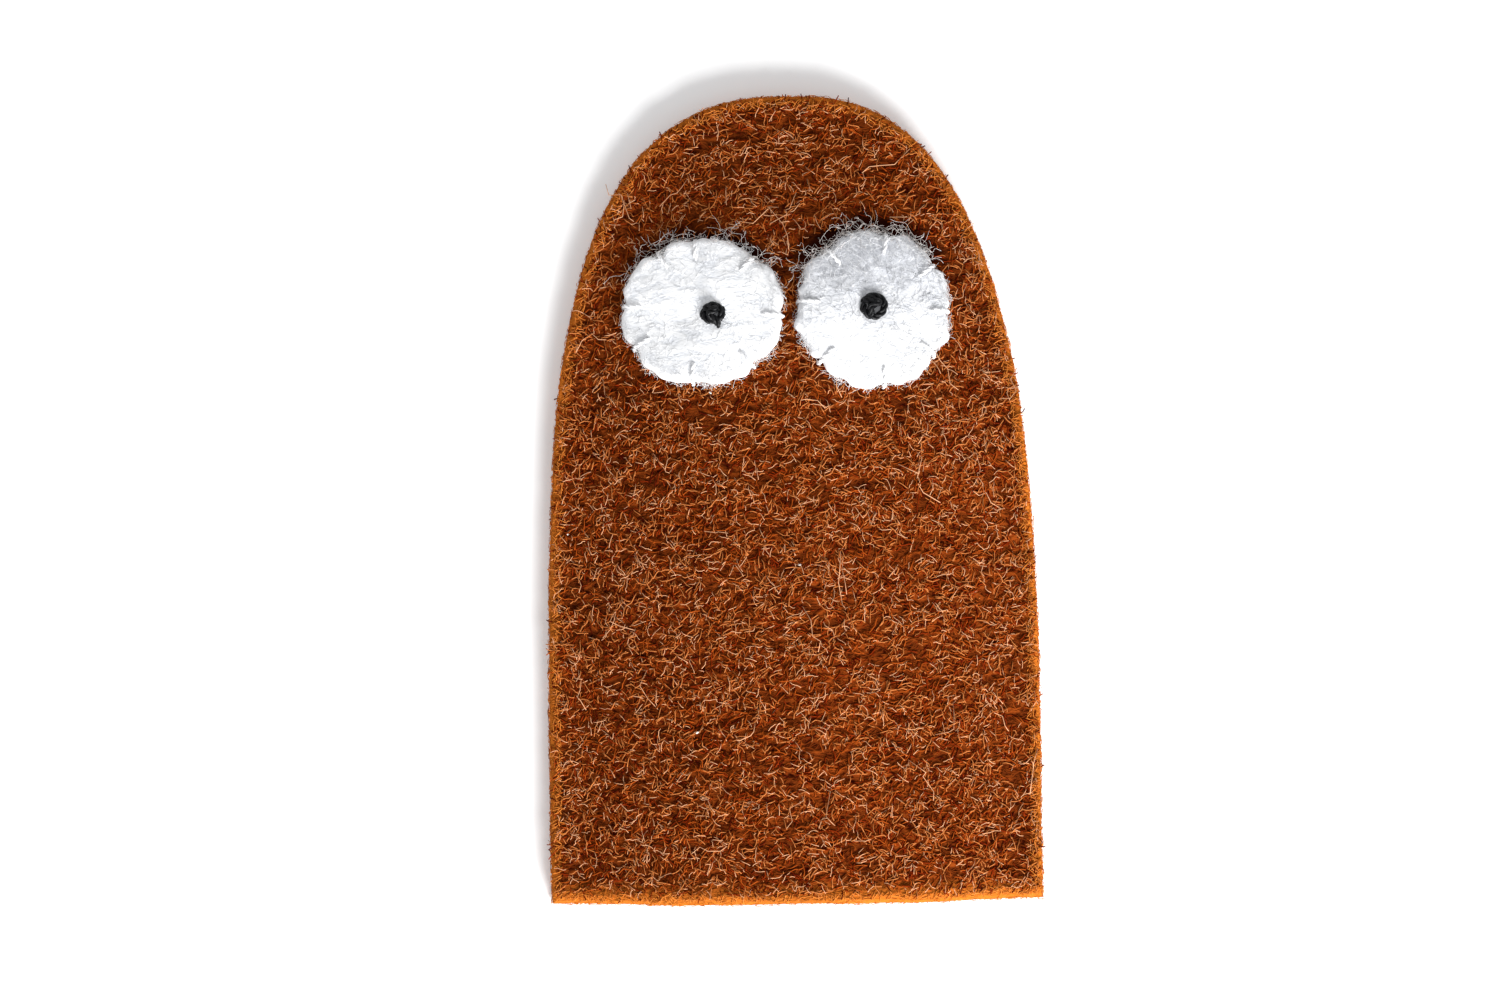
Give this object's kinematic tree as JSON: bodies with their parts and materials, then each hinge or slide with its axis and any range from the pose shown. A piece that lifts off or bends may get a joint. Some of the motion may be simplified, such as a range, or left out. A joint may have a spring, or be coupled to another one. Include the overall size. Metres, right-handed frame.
{
  "type": "felt finger puppet",
  "caption": "Brown felt finger puppet lying face up: bullet-shaped glued sleeve open at the mouth, round white stitched eyes and black knot pupils.",
  "frame": {"origin": "middle of the puppet's outline, on the plane its back rests on", "axes": "+Y from the open mouth to the crown, +X to the viewer's right when facing it, +Z out of the face"},
  "size_m": [0.05, 0.082, 0.0089],
  "materials": {
    "brown_felt": "matte wool-blend craft felt, chestnut brown, curly surface fibres",
    "white_felt": "matte white craft felt",
    "white_thread": "twisted white sewing thread, soft sheen",
    "black_floss": "mercerised black embroidery floss, glossy",
    "seam_glue": "dried clear fabric glue"
  },
  "bodies": {
    "base": {"back_panel_lower": "brown_felt", "front_panel_lower": "brown_felt", "seam_glue_lower": "seam_glue"},
    "head": {"back_panel_upper": "brown_felt", "front_panel_upper": "brown_felt", "seam_glue_upper": "seam_glue", "left_eye": "white_felt", "right_eye": "white_felt", "left_eye_thread": "white_thread", "right_eye_thread": "white_thread", "left_pupil_floss": "black_floss", "right_pupil_floss": "black_floss"}
  },
  "joints": [
    {"name": "nod", "type": "hinge", "parent": "base", "child": "head", "pos_m": [0, 0, 0.00815], "axis": [1, 0, 0], "range_deg": [0, 50], "stiffness_Nm_per_rad": 0.0015}
  ]
}
